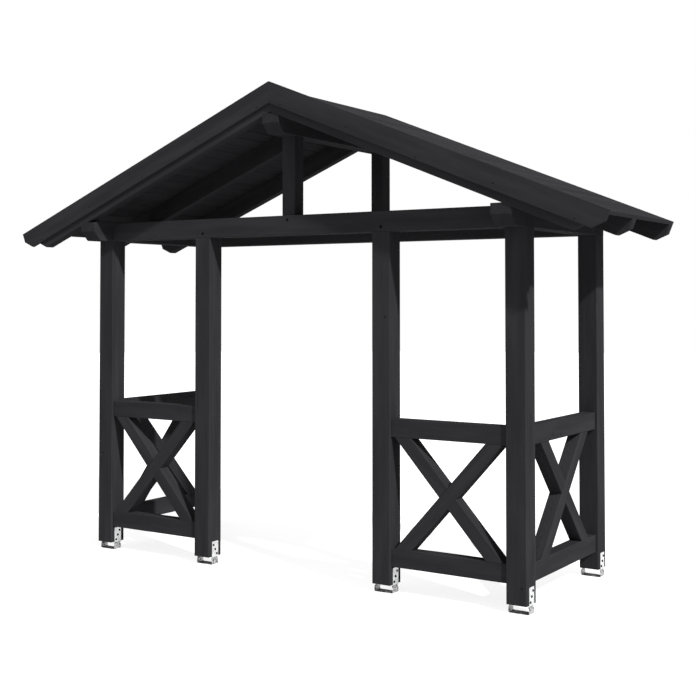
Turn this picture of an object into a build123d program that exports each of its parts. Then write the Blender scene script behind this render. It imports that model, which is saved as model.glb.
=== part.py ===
from build123d import *
import math
import os

os.makedirs("parts", exist_ok=True)

# A roofed garden arch of dark planed timber: six square posts on strap shoes, a passage between
# the two inner front posts, cross-braced panels beside it and at both ends, and a gabled roof.
# Millimetres. X runs along the front, Y from front to back, Z up from the ground.

# Posts and plan
post_size = 120.0
post_length = 2030.0
shoe_lift = 50.0
arris = 2.5
passage_width = 1220.0
bay_width = 730.0
end_bay_depth = 910.0

# Beams at the heads of the posts
beam_width = 120.0
beam_height = 120.0
lap_depth = 60.0
beam_overhang = 176.0
beam_nose = 60.0
king_size = 94.0

# Roof
roof_pitch = 21.9
rafter_width = 64.0
rafter_depth = 120.0
heel_notch = 22.0
ridge_notch = 18.0
eave_overhang = 390.0
tail_cut = 60.0
deck_thickness = 20.0
barge_thickness = 20.0
barge_width = 122.0
barge_above_deck = 28.0
barge_extra = 104.0

# Cross-braced panels
rail_height = 104.0
rail_thickness = 80.0
panel_setback = 15.0
bottom_rail_above_foot = 106.0
top_rail_above_foot = 951.0
brace_width = 80.0
brace_end_gap = 23.0

# Strap shoes
strap_thickness = 3.0
strap_width = 60.0
strap_cover = 96.0
strap_bend_radius = 6.0
strap_corner_radius = 6.0
ledge_depth = 6.0
ledge_drop = 9.0
ledge_return = 13.0
ledge_radius = 3.0
strap_hole = 9.0
strap_hole_rise = 29.0
strap_hole_step = 16.0
strap_first_hole = 16.0
anchor_hole = 14.0

# Levels
foot_z = shoe_lift
beam_bottom = foot_z + post_length
beam_top = beam_bottom + beam_height

# Plan lines, with the middle of the whole depth at Y = 0
inner_post_x = passage_width / 2 + post_size / 2
outer_post_x = inner_post_x + post_size + bay_width
outer_face_x = outer_post_x + post_size / 2
front_reach = beam_overhang + barge_thickness
whole_depth = front_reach + 2 * post_size + end_bay_depth
front_face_y = front_reach - whole_depth / 2
front_post_y = front_face_y + post_size / 2
back_post_y = front_post_y + post_size + end_bay_depth
back_face_y = back_post_y + post_size / 2
beam_front_y = front_face_y - beam_overhang
beam_length = back_face_y - beam_front_y

# Roof lines: the rafters' underside is a sloping line that meets the ridge plane at
# underside_ridge_z
slope = math.tan(math.radians(roof_pitch))
cos_pitch = math.cos(math.radians(roof_pitch))
sin_pitch = math.sin(math.radians(roof_pitch))
outer_beam_face_x = outer_post_x + beam_width / 2
underside_ridge_z = beam_top - heel_notch + slope * outer_beam_face_x
ridge_beam_top = underside_ridge_z - slope * beam_width / 2 + ridge_notch
ridge_beam_bottom = ridge_beam_top - beam_height
tail_along = (outer_beam_face_x + eave_overhang) / cos_pitch


def save(part, name):
    part.label = name
    export_step(part, f"parts/{name}.step")


def block(x_size, y_size, z_size, x, y, z):
    """A box centred on x and y that stands on z."""
    return Pos(x, y, z + z_size / 2) * Box(x_size, y_size, z_size)


def upright_profile(points, thickness, y_front):
    """A closed outline of (x, z) points, given a thickness towards the back from y_front."""
    corners = [Vector(x, 0, z) for x, z in points]
    face = make_face(Polyline(*corners, close=True).edges())
    return Pos(0, y_front, 0) * extrude(face, amount=thickness, dir=(0, 1, 0))


def on_slope(along, above):
    """A point of the right-hand slope: along it from the ridge, and square above the underside."""
    x = along * cos_pitch + above * sin_pitch
    z = underside_ridge_z - along * sin_pitch + above * cos_pitch
    return x, z


def ridge_point(above):
    """Where a line parallel to the slope meets the ridge plane."""
    return 0.0, underside_ridge_z + above / cos_pitch


def sloping_board(low, high, end_along, cut):
    """Outline of a member on the right-hand slope, with a plumb cut at the ridge and a nosed tail."""
    outline = [ridge_point(low), on_slope(end_along - cut, low)]
    if cut > 0:
        outline.append(on_slope(end_along, low + cut))
    outline += [on_slope(end_along, high), ridge_point(high)]
    return outline


def mirrored(outline, side):
    return [(side * x, z) for x, z in outline]


def eased(timber):
    """The timber with its four long arrises taken off."""
    return chamfer(timber.edges().sort_by(SortBy.LENGTH)[-4:], arris)


# Posts

post_places = {
    "post_front_outer_left": (-outer_post_x, front_post_y),
    "post_front_inner_left": (-inner_post_x, front_post_y),
    "post_front_inner_right": (inner_post_x, front_post_y),
    "post_front_outer_right": (outer_post_x, front_post_y),
    "post_back_left": (-outer_post_x, back_post_y),
    "post_back_right": (outer_post_x, back_post_y),
}

for name, (x, y) in post_places.items():
    save(eased(block(post_size, post_size, post_length, x, y, foot_z)), name)


# Strap shoes: a flat bar bent to a U round the foot of the post, with a ledge pressed into each leg
# for the timber to stand on, and three screw holes a leg

def strap_shoe(x, y, hole_lean):
    face_x = post_size / 2
    leg_top = foot_z + strap_cover
    turn = math.atan2(ledge_depth, ledge_drop)
    ledge_top = foot_z - ledge_radius * math.tan(turn / 2)
    ledge_z = ledge_top - ledge_drop
    half_line = [
        (face_x, leg_top),
        (face_x, ledge_top),
        (face_x - ledge_depth, ledge_z),
        (face_x, ledge_z - ledge_return),
        (face_x, strap_thickness),
    ]
    bends = 3 * [ledge_radius] + [strap_bend_radius]
    corners = [Vector(across, 0, up) for across, up in half_line + mirrored(half_line[::-1], -1)]
    inner_line = FilletPolyline(*corners, radius=bends + bends[::-1]).wires()[0]
    section = make_face(inner_line.offset_2d(strap_thickness, side=Side.LEFT, closed=True).edges())
    strap = extrude(section, amount=strap_width / 2, dir=(0, 1, 0), both=True)
    strap = fillet(strap.edges().filter_by(Axis.X).group_by(Axis.Z)[-1], strap_corner_radius)
    for row in range(3):
        hole_y = (row - 1) * strap_hole_step * hole_lean
        hole_z = foot_z + strap_first_hole + row * strap_hole_rise
        strap -= Pos(0, hole_y, hole_z) * Rot(0, 90, 0) * Cylinder(strap_hole / 2, 3 * post_size)
    strap -= Cylinder(anchor_hole / 2, 4 * strap_thickness)
    return Pos(x, y, 0) * strap


for name, (x, y) in post_places.items():
    lean = -1 if name == "post_front_inner_left" else 1
    save(strap_shoe(x, y, lean), name.replace("post_", "shoe_"))


# Beams: the plates over the end bays and the ridge beam run from front to back with nosed ends

def nosed_beam(x, z_bottom):
    z_top = z_bottom + beam_height
    corners = [
        Vector(x, beam_front_y + beam_nose, z_bottom),
        Vector(x, back_face_y, z_bottom),
        Vector(x, back_face_y, z_top),
        Vector(x, beam_front_y, z_top),
        Vector(x, beam_front_y, z_bottom + beam_nose),
    ]
    face = make_face(Polyline(*corners, close=True).edges())
    return eased(extrude(face, amount=beam_width / 2, dir=(1, 0, 0), both=True))


# The tie beams reach across to the outer faces and are halved under the plates

def tie_beam(y):
    tie = eased(block(2 * outer_beam_face_x, beam_width, beam_height, 0, y, beam_bottom))
    upper_half = beam_height - lap_depth
    for side in (-1, 1):
        tie -= block(beam_width, beam_width, upper_half, side * outer_post_x, y, beam_bottom + lap_depth)
    return tie


save(tie_beam(front_post_y), "tie_beam_front")
save(tie_beam(back_post_y), "tie_beam_back")

for name, side in (("plate_left", -1), ("plate_right", 1)):
    plate = nosed_beam(side * outer_post_x, beam_bottom)
    for y in (front_post_y, back_post_y):
        plate -= block(beam_width, beam_width, lap_depth, side * outer_post_x, y, beam_bottom)
    save(plate, name)

ridge_beam = nosed_beam(0, ridge_beam_bottom)
save(ridge_beam, "ridge_beam")

king_length = ridge_beam_bottom - beam_top
for name, y in (("king_post_front", front_post_y), ("king_post_back", back_post_y)):
    save(eased(block(king_size, king_size, king_length, 0, y, beam_top)), name)


# Rafters: three pairs, cut over the ridge beam and birdsmouthed on to the plates

first_rafter_y = beam_front_y
last_rafter_y = back_face_y - rafter_width
middle_rafter_y = (first_rafter_y + last_rafter_y) / 2
rafter_rows = {"front": first_rafter_y, "middle": middle_rafter_y, "back": last_rafter_y}

rafter_outline = sloping_board(0, rafter_depth, tail_along, tail_cut)
ridge_seat = block(beam_width, 2 * whole_depth, beam_height, 0, 0, ridge_beam_bottom)

for row, y_front in rafter_rows.items():
    for hand, side in (("left", -1), ("right", 1)):
        rafter = eased(upright_profile(mirrored(rafter_outline, side), rafter_width, y_front))
        plate_seat = block(beam_width, 2 * whole_depth, beam_height, side * outer_post_x, 0, beam_bottom)
        rafter -= ridge_seat
        rafter -= plate_seat
        save(rafter, f"rafter_{row}_{hand}")


# Roof deck and barge boards

deck_top = rafter_depth + deck_thickness
deck_outline = sloping_board(rafter_depth, deck_top, tail_along, 0)
barge_top = deck_top + barge_above_deck
barge_outline = sloping_board(barge_top - barge_width, barge_top, tail_along + barge_extra, tail_cut)

for hand, side in (("left", -1), ("right", 1)):
    deck = upright_profile(mirrored(deck_outline, side), beam_length, beam_front_y)
    save(deck, f"roof_deck_{hand}")
    barge = upright_profile(mirrored(barge_outline, side), barge_thickness,
                            beam_front_y - barge_thickness)
    save(eased(barge), f"barge_board_{hand}")


# Cross-braced panels, first drawn along X with the outer face at Y = 0, then turned to their bay

bottom_rail_z = foot_z + bottom_rail_above_foot
top_rail_z = foot_z + top_rail_above_foot - rail_height
brace_low_z = bottom_rail_z + rail_height
brace_high_z = top_rail_z

# All braces are cut alike, to suit the narrower bay, and cross in the middle of their panel
brace_run = min(bay_width, end_bay_depth) - 2 * brace_end_gap


def brace_outline(rising):
    """A diagonal between the rails, cut level at both ends."""
    rise = brace_high_z - brace_low_z
    a = rise ** 2 - brace_width ** 2
    b = 2 * brace_width ** 2 * brace_run
    c = -brace_width ** 2 * (rise ** 2 + brace_run ** 2)
    level_cut = (-b + math.sqrt(b ** 2 - 4 * a * c)) / (2 * a)
    low = -brace_run / 2
    outline = [
        (low, brace_low_z),
        (low + level_cut, brace_low_z),
        (-low, brace_high_z),
        (-low - level_cut, brace_high_z),
    ]
    if rising:
        return outline
    return mirrored(outline, -1)


def panel(length):
    rail = eased(Box(length, rail_thickness, rail_height))
    bottom_rail = Pos(0, rail_thickness / 2, bottom_rail_z + rail_height / 2) * rail
    top_rail = Pos(0, rail_thickness / 2, top_rail_z + rail_height / 2) * rail
    rising = upright_profile(brace_outline(True), rail_thickness, 0)
    falling = upright_profile(brace_outline(False), rail_thickness, 0)
    crossing = rising & falling
    front_half = Pos(0, rail_thickness / 4, 0) * Box(brace_run, rail_thickness / 2, 4 * post_length)
    back_half = Pos(0, rail_thickness / 2, 0) * front_half
    return {
        "top_rail": top_rail,
        "bottom_rail": bottom_rail,
        "brace_rising": eased(rising) - (crossing & back_half),
        "brace_falling": eased(falling) - (crossing & front_half),
    }


front_bay_x = inner_post_x + post_size / 2 + bay_width / 2
end_bay_y = front_post_y + post_size / 2 + end_bay_depth / 2
outer_panel_x = outer_post_x + post_size / 2 - panel_setback
front_panel_y = front_face_y + panel_setback

panel_places = {
    "front_left": (bay_width, Pos(-front_bay_x, front_panel_y, 0)),
    "front_right": (bay_width, Pos(front_bay_x, front_panel_y, 0)),
    "end_left": (end_bay_depth, Pos(-outer_panel_x, end_bay_y, 0) * Rot(0, 0, -90)),
    "end_right": (end_bay_depth, Pos(outer_panel_x, end_bay_y, 0) * Rot(0, 0, 90)),
}

for bay, (length, place) in panel_places.items():
    for piece, shape in panel(length).items():
        save(place * shape, f"panel_{bay}_{piece}")
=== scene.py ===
import bmesh
import bpy
import math
import random
from mathutils import Euler, Matrix, Vector


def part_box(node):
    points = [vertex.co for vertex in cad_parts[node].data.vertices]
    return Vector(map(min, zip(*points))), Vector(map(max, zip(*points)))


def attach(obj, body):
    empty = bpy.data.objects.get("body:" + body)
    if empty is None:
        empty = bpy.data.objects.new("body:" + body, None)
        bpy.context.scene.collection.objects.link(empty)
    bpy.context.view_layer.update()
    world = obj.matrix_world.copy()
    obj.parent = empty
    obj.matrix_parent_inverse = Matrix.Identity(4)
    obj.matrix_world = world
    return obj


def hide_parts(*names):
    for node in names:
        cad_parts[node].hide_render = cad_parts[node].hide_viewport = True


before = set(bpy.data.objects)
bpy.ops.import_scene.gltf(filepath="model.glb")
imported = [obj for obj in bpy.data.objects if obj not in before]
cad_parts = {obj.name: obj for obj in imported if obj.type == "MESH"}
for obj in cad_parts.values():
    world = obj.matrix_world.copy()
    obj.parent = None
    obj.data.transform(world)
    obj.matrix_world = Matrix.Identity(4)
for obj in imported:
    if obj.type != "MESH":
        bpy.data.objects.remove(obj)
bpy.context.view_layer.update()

# Looks of a roofed garden arch of near-black stained timber on galvanised strap shoes.
# Metres. X runs along the front, Y from front to back, Z up from the ground.

BODY = "root"
RIGHT = Vector((1, 0, 0))
BACK = Vector((0, 1, 0))
UP = Vector((0, 0, 1))
HANDS = {"left": -1, "right": 1}

# The photograph's view
EYE = (4.2563, -6.3077, 1.6964)
LOOK_UP = math.radians(1.698)
TURN_LEFT = math.radians(33.178)
LENS_MM = 61.164
SENSOR_MM = 36.0
PHOTO_SHIFT = -0.12243
FARTHEST = 200

# Light
WHITE = (1, 1, 1, 1)
SKY_LEVEL = 0.50
KEY_LEVEL = 1.13
KEY_AZIMUTH = math.radians(68.8)
KEY_HEIGHT = math.radians(38.8)
KEY_SOFTNESS = math.radians(2)
FLOOR_SIZE = 60.0
FLOOR_SIDES = 96
FLOOR_BOUNCE = 0.60
FLOOR_WHITE = 0.78

# Roof boards; a tongue is a third as thick as its board
BOARD_COVER = 0.095
BOARD_GAP = 0.0012
BOARD_VEE = 0.004
BOARD_ARRIS = 0.0015
TONGUE = 0.006
TONGUE_SHARE = 1 / 3
BOARD_SCREW = 0.007
BOARD_SCREW_SHARES = (0.25, 0.75)

# Screws in the timber and the straps. The barge boards have two rows, which lie a deck's thickness
# and this much below the deck's underside
SCREW_STAND_OUT = 0.0006
TIE_SCREW = 0.018
TIE_SCREW_INSET = 0.028
BARGE_SCREW = 0.008
BARGE_SCREW_SPACING = 0.5
BARGE_SCREW_START = BARGE_SCREW_SPACING / 4
BARGE_SCREW_ROWS = (0.040, 0.020)
STRAP_SCREW = 0.015
STRAP_SCREW_STAND_OUT = 0.003
STRAP_HOLES = 3
STRAP_FIRST_HOLE = 0.066
STRAP_HOLE_RISE = 0.029
STRAP_HOLE_STEP = 0.016
TURNED_SHOE = "shoe_front_inner_left"


# Shader building blocks

def new_material(name):
    material = bpy.data.materials.new(name)
    material.use_nodes = True
    tree = material.node_tree
    tree.nodes.clear()
    return material, tree


def add(tree, kind, settings=None, **inputs):
    """A shader node with its settings and its inputs, each a value or another node's socket."""
    made = tree.nodes.new("ShaderNode" + kind)
    for key, value in (settings or {}).items():
        setattr(made, key, value)
    for key, value in inputs.items():
        socket = made.inputs[int(key[1:])] if key[1:].isdigit() else made.inputs[key.replace("_", " ")]
        if isinstance(value, bpy.types.NodeSocket):
            tree.links.new(value, socket)
        else:
            socket.default_value = value
    return made


def maths(tree, operation, a, b=0.0):
    return add(tree, "Math", {"operation": operation}, _0=a, _1=b).outputs[0]


def weighed(tree, start, *terms):
    """start plus the sum of the terms, each of them a value and its share."""
    total = start
    for value, share in terms:
        total = maths(tree, "ADD", total, maths(tree, "MULTIPLY", value, share))
    return total


def vectors(tree, operation, a, b):
    return add(tree, "VectorMath", {"operation": operation}, _0=a, _1=b).outputs["Vector"]


def mapped(tree, where, **change):
    return add(tree, "Mapping", Vector=where, **change).outputs[0]


def remap(tree, value, low, high, to_low=0.0, to_high=1.0):
    made = add(tree, "MapRange", {"interpolation_type": "SMOOTHSTEP"}, Value=value)
    for key, number in zip(("From Min", "From Max", "To Min", "To Max"), (low, high, to_low, to_high)):
        made.inputs[key].default_value = number
    return made.outputs[0]


def noise(tree, where, scale=1.0, detail=3.0, rough=0.5):
    made = add(tree, "TexNoise", Vector=where, Scale=scale, Detail=detail, Roughness=rough)
    return made.outputs[0]


def tinted(tree, factor, first, second):
    """From the first colour, which may be a socket, to the second as factor goes from 0 to 1."""
    if not isinstance(first, bpy.types.NodeSocket):
        first = (*first, 1)
    return add(tree, "Mix", {"data_type": "RGBA"}, _0=factor, _6=first, _7=(*second, 1)).outputs[2]


def finish_material(material, tree, colour, rough, bump, bump_depth, **surface):
    relief = add(tree, "Bump", Height=bump, Distance=bump_depth, Strength=1.0)
    shader = add(tree, "BsdfPrincipled", Base_Color=colour, Roughness=rough,
                 Normal=relief.outputs[0], **surface)
    tree.links.new(shader.outputs[0], add(tree, "OutputMaterial").inputs[0])
    return material


# Stained timber: growth rings round a pith that runs along the member, so that faces show long
# grain and sawn ends show rings, under a near-black stain that is a little thinner on the arrises

STAIN_DARK = (0.026, 0.0255, 0.028)
STAIN_LIGHT = (0.040, 0.039, 0.042)
STAIN_RANGE = (0.25, 0.75)
GRAIN_RELIEF = 0.0004
TIMBER_ROUGH = 0.80
TIMBER_GLOSS = 0.004

# The pith's place in the member, and the grain's size
PITH_ALONG = 9
PITH_ASIDE = 0.05
PITH_AWAY = (0.03, 0.09)
RING_WIDTH = 0.0045
LATE_WOOD = (0.35, 0.95)
GRAIN_STRETCH = (0.12, 1.0, 1.0)
WANDER_SCALE = 9.0
WANDER_REACH = 0.022
CLOUD_SCALE = 14.0
FIBRE_SCALE = (6.0, 260.0, 260.0)

# How square to the member's length a face is before it shows end grain, and where an arris begins
END_GRAIN = (0.35, 0.75)
ARRIS = (0.1, 0.4)

# Knots, first the few that the photograph shows
KNOT_RADIUS = 0.008
KNOT_CORE = 0.6
KNOT_RAGGED_SCALE = 90.0
KNOT_REACH = 0.045
KNOT_BEND = 0.012
KNOT_DEPTH = 0.8
KNOT_SHARE = 0.75
KNOT_COLOUR = (0.006, 0.006, 0.0065)
SEEN_KNOTS = {
    "post_front_outer_left": [(-1.541, -0.477, 0.648)],
    "post_front_inner_right": [(0.699, -0.477, 1.586)],
    "post_front_outer_right": [(1.552, -0.477, 0.143)],
    "panel_end_right_top_rail": [(1.565, -0.082, 0.925), (1.565, 0.031, 0.919)],
}
UNSEEN_KNOT_SEED = 1000
UNSEEN_KNOTS = (1, 3)
UNSEEN_KNOT_INSET = (0.02, 0.10)
CLEAR_AT_FOOT = 0.1
CLEAR_AT_TOP = 0.3


def knot_mask(tree, place, spots):
    """Two masks over all the spots: the knot itself, and the wider grain that bends round it."""
    ragged = add(tree, "TexNoise", Vector=place, Scale=KNOT_RAGGED_SCALE, Detail=2.0).outputs["Color"]
    shaken = add(tree, "VectorMath", {"operation": "SCALE"}, _0=ragged, Scale=KNOT_RADIUS)
    lifted = vectors(tree, "ADD", place, shaken.outputs["Vector"])
    centred = vectors(tree, "SUBTRACT", lifted, Vector((1, 1, 1)) * KNOT_RADIUS / 2)
    nearest = 1.0
    for spot in spots:
        away = add(tree, "VectorMath", {"operation": "DISTANCE"}, _0=centred, _1=spot).outputs["Value"]
        nearest = maths(tree, "MINIMUM", away, nearest)
    knot = remap(tree, nearest, KNOT_CORE * KNOT_RADIUS, KNOT_RADIUS, 1.0, 0.0)
    bend = remap(tree, nearest, 0.0, KNOT_REACH, 1.0, 0.0)
    return knot, bend


def unseen_knots(node, seed):
    """A few knots for a post, on the faces that the photograph doesn't show."""
    draw = random.Random(UNSEEN_KNOT_SEED + seed)
    low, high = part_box(node)
    spots = []
    for _ in range(draw.randint(*UNSEEN_KNOTS)):
        z = draw.uniform(low.z + CLEAR_AT_FOOT, high.z - CLEAR_AT_TOP)
        inset = draw.uniform(*UNSEEN_KNOT_INSET)
        if draw.random() < 0.5:
            spots.append(Vector((low.x, low.y + inset, z)))
        else:
            spots.append(Vector((low.x + inset, high.y, z)))
    return spots


def pith_of(seed):
    """The pith's place from the member's centre: along the member, aside, and away from it."""
    draw = random.Random(seed)
    return (draw.uniform(-PITH_ALONG, PITH_ALONG), draw.uniform(-PITH_ASIDE, PITH_ASIDE),
            draw.uniform(*PITH_AWAY))


def growth_rings(tree, grown, stretched, bend):
    """The late wood of each ring, as 0 to 1, where grown is the place measured from the pith."""
    wander = noise(tree, stretched, WANDER_SCALE, detail=2.0)
    parts = add(tree, "SeparateXYZ", Vector=grown)
    across = add(tree, "CombineXYZ", Y=parts.outputs[1], Z=parts.outputs[2]).outputs[0]
    radius = add(tree, "VectorMath", {"operation": "LENGTH"}, _0=across).outputs["Value"]
    waved = weighed(tree, radius, (wander, WANDER_REACH), (bend, KNOT_BEND))
    ring = maths(tree, "FRACT", maths(tree, "DIVIDE", waved, RING_WIDTH))
    return remap(tree, ring, *LATE_WOOD)


def ends_and_arrises(tree, normal):
    """Two masks: sawn ends, and arrises along the member."""
    side = add(tree, "SeparateXYZ", Vector=normal)
    facing = maths(tree, "ABSOLUTE", side.outputs[0])
    corner = maths(tree, "ABSOLUTE", maths(tree, "MULTIPLY", side.outputs[1], side.outputs[2]))
    return remap(tree, facing, *END_GRAIN), remap(tree, corner, *ARRIS)


def stain_colour(tree, tone):
    return tinted(tree, remap(tree, tone, *STAIN_RANGE), STAIN_DARK, STAIN_LIGHT)


def stained_timber(name, centre, along, across, ring_seed, knots=()):
    """along is the member's length and across the normal of one of its faces."""
    material, tree = new_material(name)
    turn = Matrix((along, across, along.cross(across))).to_euler()
    source = add(tree, "TexCoord")
    place = source.outputs["Object"]
    local = mapped(tree, vectors(tree, "SUBTRACT", place, centre), Rotation=turn)
    grown = vectors(tree, "SUBTRACT", local, pith_of(ring_seed))
    stretched = mapped(tree, grown, Scale=GRAIN_STRETCH)

    knot, bend = knot_mask(tree, place, knots) if knots else (0.0, 0.0)
    late_wood = growth_rings(tree, grown, stretched, bend)
    fibre = noise(tree, mapped(tree, grown, Scale=FIBRE_SCALE), rough=0.6)
    cloud = noise(tree, stretched, CLOUD_SCALE, rough=0.55)
    end_grain, arris = ends_and_arrises(tree, mapped(tree, source.outputs["Normal"], Rotation=turn))

    mixed = weighed(tree, 0.0, (cloud, 0.75), (fibre, 0.25), (late_wood, -0.10), (arris, 0.08),
                    (end_grain, -0.10))
    tone = add(tree, "Clamp", Value=mixed).outputs[0]
    darkened = maths(tree, "MULTIPLY", knot, KNOT_SHARE)
    colour = tinted(tree, darkened, stain_colour(tree, tone), KNOT_COLOUR)
    rough = weighed(tree, TIMBER_ROUGH, (tone, 0.10), (end_grain, 0.08))
    height = weighed(tree, 0.0, (late_wood, 0.5), (fibre, 0.5), (knot, -KNOT_DEPTH))
    return finish_material(material, tree, colour, rough, height, GRAIN_RELIEF,
                           Specular_IOR_Level=TIMBER_GLOSS)


# Galvanised steel: zinc with its flakes, dark flecks of painted dappled reflection, painted shade
# below the ledge that carries the post, and painted shade on its base under the post

ZINC_DARK = (0.60, 0.605, 0.61)
ZINC_LIGHT = (0.80, 0.805, 0.81)
ZINC_FLAKE = 0.009
ZINC_CLOUD_SCALE = 60.0
ZINC_RELIEF = 0.0002
ZINC_ROUGH = 0.20
METAL_SHARE = 0.70
# The colour of painted shade, and how far below the ledge the lower strap is painted darker
PAINTED_SHADE_COLOUR = (0.035, 0.034, 0.033)
LOW_SHADE_BELOW = 0.050
LOW_SHADE_FADE = (0.006, 0.002)
LOW_SHADE_SHARE = 0.38
# Dark flecks of painted dappled reflection: strong below the ledge, faint on the legs
REFLECTION_FLECK_SCALE = 85.0
REFLECTION_FLECK_EDGE = (0.50, 0.60)
REFLECTION_FLECK_SHARE = 0.55
LEG_REFLECTION_FLECK_SHARE = 0.25
# Painted shade on the base under the post, in patches; where it lies the zinc is also less metallic
BASE_SHADE_BELOW = 0.003
BASE_SHADE_FADE = 0.004
BASE_SHADE_SHARE = 0.97
BASE_SHADE_PATCH_SCALE = 12.0
BASE_SHADE_PATCH_EDGE = (0.40, 0.60)
BASE_SHADE_PATCH_LEAST = 0.75


def galvanised(name):
    material, tree = new_material(name)
    place = add(tree, "TexCoord").outputs["Object"]
    spangle = add(tree, "TexVoronoi", Vector=place, Scale=1.0 / ZINC_FLAKE)
    flake = add(tree, "SeparateXYZ", Vector=spangle.outputs["Color"]).outputs[0]
    cloud = noise(tree, place, ZINC_CLOUD_SCALE)
    # Dark flecks of painted reflection
    reflection_fleck = remap(tree, noise(tree, place, REFLECTION_FLECK_SCALE, rough=0.65), *REFLECTION_FLECK_EDGE)
    # Patches in the painted shade on the base
    shade_patch = remap(tree, noise(tree, place, BASE_SHADE_PATCH_SCALE, detail=1.0), *BASE_SHADE_PATCH_EDGE, BASE_SHADE_PATCH_LEAST, 1.0)

    height = add(tree, "SeparateXYZ", Vector=place).outputs[2]
    below_ledge = remap(tree, height, LOW_SHADE_BELOW - LOW_SHADE_FADE[0], LOW_SHADE_BELOW + LOW_SHADE_FADE[1], 1.0, 0.0)
    at_base = remap(tree, height, BASE_SHADE_BELOW, BASE_SHADE_BELOW + BASE_SHADE_FADE,
                    BASE_SHADE_SHARE, 0.0)
    # Painted shade below the ledge, deepened by the flecks of painted reflection
    painted_low_shade = maths(tree, "MULTIPLY", below_ledge, weighed(tree, LOW_SHADE_SHARE, (reflection_fleck, REFLECTION_FLECK_SHARE)))
    # Painted shade on the base under the post
    grime_and_shade = maths(tree, "MULTIPLY", at_base, shade_patch)
    painted_shade = maths(tree, "MAXIMUM", painted_low_shade, grime_and_shade)
    # The flecks of painted reflection reach the legs too, more faintly
    painted_shade_and_flecks = maths(tree, "MAXIMUM", painted_shade, maths(tree, "MULTIPLY", reflection_fleck, LEG_REFLECTION_FLECK_SHARE))

    clean = tinted(tree, weighed(tree, 0.0, (flake, 0.6), (cloud, 0.4)), ZINC_DARK, ZINC_LIGHT)
    # The zinc, darkened by painted shade and by flecks of painted reflection
    colour = tinted(tree, painted_shade_and_flecks, clean, PAINTED_SHADE_COLOUR)
    rough = weighed(tree, ZINC_ROUGH, (flake, 0.14), (painted_shade, 0.12), (grime_and_shade, 0.4))
    metal = maths(tree, "MULTIPLY", maths(tree, "SUBTRACT", 1.0, grime_and_shade), METAL_SHARE)
    return finish_material(material, tree, colour, rough, cloud, ZINC_RELIEF, Metallic=metal)


# Black screw steel, coloured near black so that the heads also paint the shade in the holes they sit in
SCREW_DARK = (0.002, 0.002, 0.002)
SCREW_LIGHT = (0.007, 0.007, 0.0075)
SCREW_GRIME_SCALE = 900.0
SCREW_RELIEF = 0.0001
SCREW_ROUGH = 0.75
SCREW_GLOSS = 0.01


def screw_steel():
    material, tree = new_material("black_screw_steel_and_hole_shade")
    grime_and_shade = noise(tree, add(tree, "TexCoord").outputs["Object"], SCREW_GRIME_SCALE, detail=2.0)
    colour = tinted(tree, grime_and_shade, SCREW_DARK, SCREW_LIGHT)
    rough = weighed(tree, SCREW_ROUGH, (grime_and_shade, 0.2))
    return finish_material(material, tree, colour, rough, grime_and_shade, SCREW_RELIEF,
                           Specular_IOR_Level=SCREW_GLOSS)


# The roof's lines, read from the frame

AT_RIDGE = 0.0001


def deck_corners():
    """Ridge top, eave top and eave bottom in the right-hand slope's section, each as (x, z)."""
    points = [(v.co.x, v.co.z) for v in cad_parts["roof_deck_right"].data.vertices]
    at_ridge = [p for p in points if abs(p[0]) < AT_RIDGE]
    ridge_top = max(at_ridge, key=lambda p: p[1])
    eave_top = max(points, key=lambda p: p[0])
    eave_bottom = min(points, key=lambda p: p[1])
    return ridge_top, eave_top, eave_bottom


(ridge_x, ridge_z), (eave_x, eave_z), eave_bottom = deck_corners()
pitch = math.atan2(ridge_z - eave_z, eave_x)
slope_length = math.hypot(eave_x, ridge_z - eave_z)
deck_thickness = math.dist((eave_x, eave_z), eave_bottom)
board_count = round(slope_length / BOARD_COVER)
board_cover = slope_length / board_count


def down_slope(hand):
    return Vector((hand * math.cos(pitch), 0, -math.sin(pitch)))


# Finish of the timbers and shoes that the frame brings

def middle(node):
    low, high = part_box(node)
    return (low + high) / 2


def direction_of(node):
    """The directions of the member's length and of one face's normal, from its name and its box."""
    if node.startswith(("post_", "king_post")):
        return UP, BACK
    if node.startswith(("rafter", "barge")):
        return down_slope(HANDS["left" if "left" in node else "right"]), BACK
    if "brace" in node:
        return brace_line(node), RIGHT if "_end_" in node else BACK
    if node.startswith(("tie_beam", "panel_front")):
        return RIGHT, BACK
    return BACK, RIGHT


def brace_line(node):
    """A brace's direction. In the end panels, turned a quarter, its highest corner says how it leans."""
    low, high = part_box(node)
    size = high - low
    if "_end_" in node:
        top = max((v.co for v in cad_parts[node].data.vertices), key=lambda p: p.z)
        lean = math.atan2(size.z, size.y)
        lean_back = 1 if top.y > middle(node).y else -1
        return Vector((0, lean_back * math.cos(lean), math.sin(lean)))
    rise = 1 if node.endswith("rising") else -1
    lean = math.atan2(size.z, size.x)
    return Vector((math.cos(lean), 0, rise * math.sin(lean)))


def paint(node, material):
    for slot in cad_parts[node].material_slots:
        slot.material = material


def dress_timbers():
    for seed, node in enumerate(sorted(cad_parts)):
        if node.startswith(("shoe_", "roof_deck")):
            continue
        along, across = direction_of(node)
        knots = [Vector(spot) for spot in SEEN_KNOTS.get(node, ())]
        if node.startswith("post_"):
            knots += unseen_knots(node, seed)
        paint(node, stained_timber("stain_" + node, middle(node), along, across, seed, knots))


def dress_shoes():
    zinc = galvanised("galvanised_strap")
    for node in sorted(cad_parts):
        if node.startswith("shoe_"):
            paint(node, zinc)


# Mesh helpers

def piece_from(bm, name, material):
    mesh = bpy.data.meshes.new(name)
    bmesh.ops.recalc_face_normals(bm, faces=bm.faces)
    bm.to_mesh(mesh)
    bm.free()
    made = bpy.data.objects.new(name, mesh)
    bpy.context.scene.collection.objects.link(made)
    mesh.materials.append(material)
    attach(made, BODY)
    return made


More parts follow.
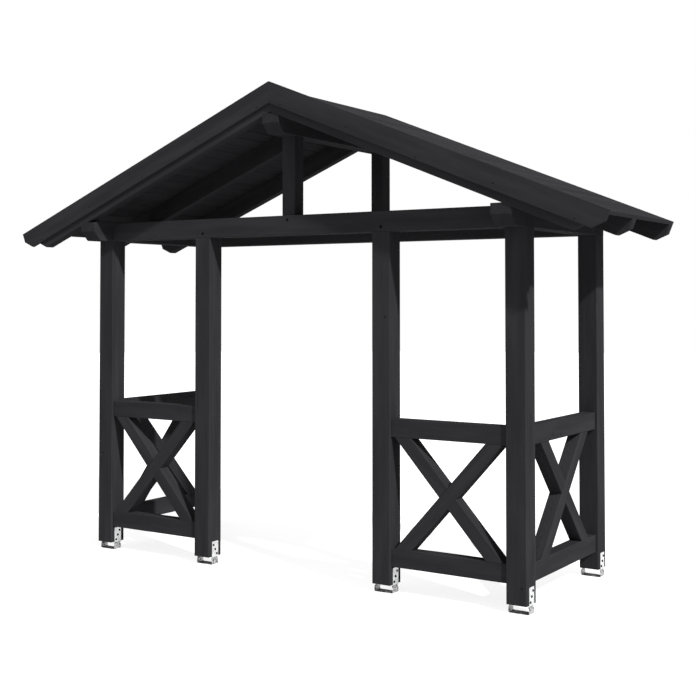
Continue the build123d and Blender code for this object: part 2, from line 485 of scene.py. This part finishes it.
def prism(bm, section, place, y_front, y_back):
    """A closed section of (a, b) points, put in place as (x, z) and run from front to back."""
    outline = [place(a, b) for a, b in section]
    front, back = ([bm.verts.new((x, y, z)) for x, z in outline] for y in (y_front, y_back))
    count = len(section)
    bm.faces.new(front)
    bm.faces.new(back[::-1])
    for i in range(count):
        j = (i + 1) % count
        bm.faces.new((front[i], front[j], back[j], back[i]))


# Roof boards: tongued and grooved, laid along the ridge from rafter to rafter, V-jointed below

def board_section(number):
    """(down the slope, above the underside) points of one board, counted from the ridge."""
    t = deck_thickness
    play = BOARD_GAP / 2
    half_tongue = t * TONGUE_SHARE / 2
    start, end = number * board_cover, (number + 1) * board_cover
    s0, s1 = start + play, end - play
    if number == 0:
        points = [(t * math.tan(pitch), 0.0), (0.0, t)]
    else:
        points = [
            (s0 + BOARD_VEE, 0.0),
            (s0, BOARD_VEE),
            (s0, t / 2 - half_tongue),
            (s0 - TONGUE, t / 2 - half_tongue),
            (s0 - TONGUE, t / 2 + half_tongue),
            (s0, t / 2 + half_tongue),
            (s0, t - BOARD_ARRIS),
            (s0 + BOARD_ARRIS, t),
        ]
    if number == board_count - 1:
        return points + [(end, t), (end, 0.0)]
    return points + [
        (s1 - BOARD_ARRIS, t),
        (s1, t - BOARD_ARRIS),
        (s1, t / 2 + half_tongue + play),
        (s1 - TONGUE - play, t / 2 + half_tongue + play),
        (s1 - TONGUE - play, t / 2 - half_tongue - play),
        (s1, t / 2 - half_tongue - play),
        (s1, BOARD_VEE),
        (s1 - BOARD_VEE, 0.0),
    ]


def on_deck(hand):
    """Turns (down the slope, above the underside) into (x, z) on that side of the ridge."""
    def place(down, above):
        lift = above - deck_thickness
        x = ridge_x + down * math.cos(pitch) + lift * math.sin(pitch)
        z = ridge_z - down * math.sin(pitch) + lift * math.cos(pitch)
        return hand * x, z

    return place


def roof_boards(side, hand):
    low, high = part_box("roof_deck_" + side)
    bm = bmesh.new()
    for number in range(board_count):
        prism(bm, board_section(number), on_deck(hand), low.y, high.y)
    boards = piece_from(bm, "roof_boards_" + side, board_stain(side, hand))
    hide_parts("roof_deck_" + side)


# The finish of the roof boards, and how far apart in the grain two boards may lie
BOARD_ROUGH = 0.86
BOARD_GLOSS = 0.001
BOARD_STREAKS = (1.6, 60.0, 60.0)
BOARD_FIBRE = (7.0, 320.0, 320.0)
BOARDS_APART = (31.0, 3.0)


def board_stain(side, hand):
    """The boards' stain: each board has its own tone and its own grain."""
    material, tree = new_material("stain_roof_boards_" + side)
    place = add(tree, "TexCoord").outputs["Object"]
    ridge = Vector((ridge_x, 0, ridge_z))
    down = down_slope(hand)
    turn = Matrix((BACK, down, BACK.cross(down))).to_euler()
    local = mapped(tree, vectors(tree, "SUBTRACT", place, ridge), Rotation=turn)
    parts = add(tree, "SeparateXYZ", Vector=local)
    number = maths(tree, "FLOOR", maths(tree, "DIVIDE", parts.outputs[1], board_cover))
    chance = add(tree, "TexWhiteNoise", {"noise_dimensions": "1D"}, W=number).outputs[0]
    along, deep = (maths(tree, "MULTIPLY", chance, reach) for reach in BOARDS_APART)
    apart = add(tree, "CombineXYZ", X=along, Z=deep).outputs[0]
    own = vectors(tree, "ADD", local, apart)
    streaks = noise(tree, mapped(tree, own, Scale=BOARD_STREAKS), detail=4.0, rough=0.6)
    fibre = noise(tree, mapped(tree, own, Scale=BOARD_FIBRE), detail=2.0, rough=0.6)

    tone = weighed(tree, 0.0, (streaks, 0.6), (fibre, 0.2), (chance, 0.2))
    rough = weighed(tree, BOARD_ROUGH, (tone, 0.10))
    height = weighed(tree, 0.0, (streaks, 0.6), (fibre, 0.4))
    return finish_material(material, tree, stain_colour(tree, tone), rough, height, GRAIN_RELIEF,
                           Specular_IOR_Level=BOARD_GLOSS)


# Screws: a low head with a round recess, turned about its axis. Each point of the outline gives its
# share of the head's width and its share of how far the head stands out

HEAD_OUTLINE = ((0.50, -0.8), (0.50, 0.4), (0.46, 0.8), (0.40, 1.0), (0.22, 1.0), (0.17, 0.2), (0.0, 0.2))
HEAD_SIDES = 12


def screw_head(bm, centre, outward, width, stand_out=SCREW_STAND_OUT):
    """A head that sits on the surface at centre."""
    turn = UP.rotation_difference(outward).to_matrix()
    rings = []
    for reach, height in HEAD_OUTLINE:
        ring = []
        for i in range(HEAD_SIDES if reach else 1):
            a = 2 * math.pi * i / HEAD_SIDES
            spot = Vector((reach * width * math.cos(a), reach * width * math.sin(a), height * stand_out))
            ring.append(bm.verts.new(centre + turn @ spot))
        rings.append(ring)
    for lower, upper in zip(rings, rings[1:]):
        for i in range(HEAD_SIDES):
            j = (i + 1) % HEAD_SIDES
            if len(upper) == 1:
                bm.faces.new((lower[i], lower[j], upper[0]))
            else:
                bm.faces.new((lower[i], lower[j], upper[j], upper[i]))
    bm.faces.new(rings[0][::-1])


def strap_screws(material):
    """A slanting row on each leg of each shoe. One shoe is turned round, and its rows lean the other way."""
    bm = bmesh.new()
    middle_row = (STRAP_HOLES - 1) / 2
    for node in sorted(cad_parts):
        if not node.startswith("shoe_"):
            continue
        low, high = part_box(node)
        lean = -1 if node == TURNED_SHOE else 1
        for hand, face_x in ((-1, low.x), (1, high.x)):
            for row in range(STRAP_HOLES):
                y = middle(node).y + (row - middle_row) * STRAP_HOLE_STEP * lean
                z = STRAP_FIRST_HOLE + row * STRAP_HOLE_RISE
                screw_head(bm, Vector((face_x, y, z)), hand * RIGHT, STRAP_SCREW, STRAP_SCREW_STAND_OUT)
    piece_from(bm, "strap_screws", material)


def tie_screws(material):
    """Outside on the tie beams: one under each king post and, in front, one over each inner post."""
    bm = bmesh.new()
    inner_x = middle("post_front_inner_right").x
    for node, outward in (("tie_beam_front", -1), ("tie_beam_back", 1)):
        low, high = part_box(node)
        face_y = low.y if outward < 0 else high.y
        spots = [(0.0, high.z - TIE_SCREW_INSET)]
        if node == "tie_beam_front":
            spots += [(x, low.z + TIE_SCREW_INSET) for x in (-inner_x, inner_x)]
        for x, z in spots:
            screw_head(bm, Vector((x, face_y, z)), outward * BACK, TIE_SCREW)
    piece_from(bm, "tie_beam_screws", material)


def barge_screws(material):
    """Screws through each barge board into the front rafter, in two rows by turns."""
    bm = bmesh.new()
    face_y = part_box("barge_board_right")[0].y
    count = math.floor((slope_length - BARGE_SCREW_START) / BARGE_SCREW_SPACING) + 1
    for hand in HANDS.values():
        place = on_deck(hand)
        for i in range(count):
            x, z = place(BARGE_SCREW_START + i * BARGE_SCREW_SPACING,
                         -deck_thickness - BARGE_SCREW_ROWS[i % 2])
            screw_head(bm, Vector((x, face_y, z)), -BACK, BARGE_SCREW)
    piece_from(bm, "barge_board_screws", material)


def roof_screws(material):
    """Two sunk screws a board over every rafter."""
    bm = bmesh.new()
    rows = [middle("rafter_%s_right" % row).y for row in ("front", "middle", "back")]
    for hand in HANDS.values():
        place = on_deck(hand)
        outward = Vector((hand * math.sin(pitch), 0, math.cos(pitch)))
        for number in range(board_count):
            for share in BOARD_SCREW_SHARES:
                x, z = place((number + share) * board_cover, deck_thickness)
                for y in rows:
                    screw_head(bm, Vector((x, y, z)), outward, BOARD_SCREW)
    piece_from(bm, "roof_board_screws", material)


# Stage

def seen_straight(tree):
    """1 where the stage is looked at, straight or in a reflection, and 0 where it lights the object."""
    path = add(tree, "LightPath")
    seen = maths(tree, "MAXIMUM", path.outputs["Is Camera Ray"], path.outputs["Is Glossy Ray"])
    return maths(tree, "MAXIMUM", seen, path.outputs["Is Transmission Ray"])


def sky():
    world = bpy.data.worlds.new("sky")
    bpy.context.scene.world = world
    world.use_nodes = True
    tree = world.node_tree
    tree.nodes.clear()
    level = weighed(tree, SKY_LEVEL, (seen_straight(tree), 1.0 - SKY_LEVEL))
    glow = add(tree, "Background", Color=WHITE, Strength=level)
    tree.links.new(glow.outputs[0], add(tree, "OutputWorld").inputs[0])


def key_light():
    lamp = bpy.data.lights.new("key", "SUN")
    lamp.energy = KEY_LEVEL * math.pi
    lamp.angle = KEY_SOFTNESS
    key = bpy.data.objects.new("key", lamp)
    bpy.context.scene.collection.objects.link(key)
    towards = Vector((math.sin(KEY_AZIMUTH) * math.cos(KEY_HEIGHT),
                      -math.cos(KEY_AZIMUTH) * math.cos(KEY_HEIGHT), math.sin(KEY_HEIGHT)))
    key.rotation_euler = towards.to_track_quat("Z", "Y").to_euler()


def pale_floor():
    bm = bmesh.new()
    bmesh.ops.create_circle(bm, cap_ends=True, segments=FLOOR_SIDES, radius=FLOOR_SIZE / 2)
    mesh = bpy.data.meshes.new("floor")
    bm.to_mesh(mesh)
    bm.free()
    floor = bpy.data.objects.new("floor", mesh)
    bpy.context.scene.collection.objects.link(floor)
    material, tree = new_material("pale_floor")
    bounce = add(tree, "BsdfDiffuse", Color=(FLOOR_BOUNCE, FLOOR_BOUNCE, FLOOR_BOUNCE, 1))
    glow = add(tree, "Emission", Color=WHITE,
               Strength=maths(tree, "MULTIPLY", seen_straight(tree), FLOOR_WHITE))
    both = add(tree, "AddShader", _0=bounce.outputs[0], _1=glow.outputs[0])
    tree.links.new(both.outputs[0], add(tree, "OutputMaterial").inputs[0])
    mesh.materials.append(material)


def camera():
    data = bpy.data.cameras.new("photo_view")
    data.lens = LENS_MM
    data.sensor_width = SENSOR_MM
    data.shift_y = PHOTO_SHIFT
    data.clip_end = FARTHEST
    made = bpy.data.objects.new("photo_view", data)
    made.location = EYE
    made.rotation_euler = Euler((math.pi / 2 + LOOK_UP, 0, TURN_LEFT))
    bpy.context.scene.collection.objects.link(made)
    bpy.context.scene.camera = made


bpy.context.scene.view_settings.view_transform = "Standard"
camera()
sky()
key_light()
pale_floor()
dress_timbers()
dress_shoes()
for side, hand in HANDS.items():
    roof_boards(side, hand)
steel = screw_steel()
strap_screws(steel)
tie_screws(steel)
barge_screws(steel)
roof_screws(steel)
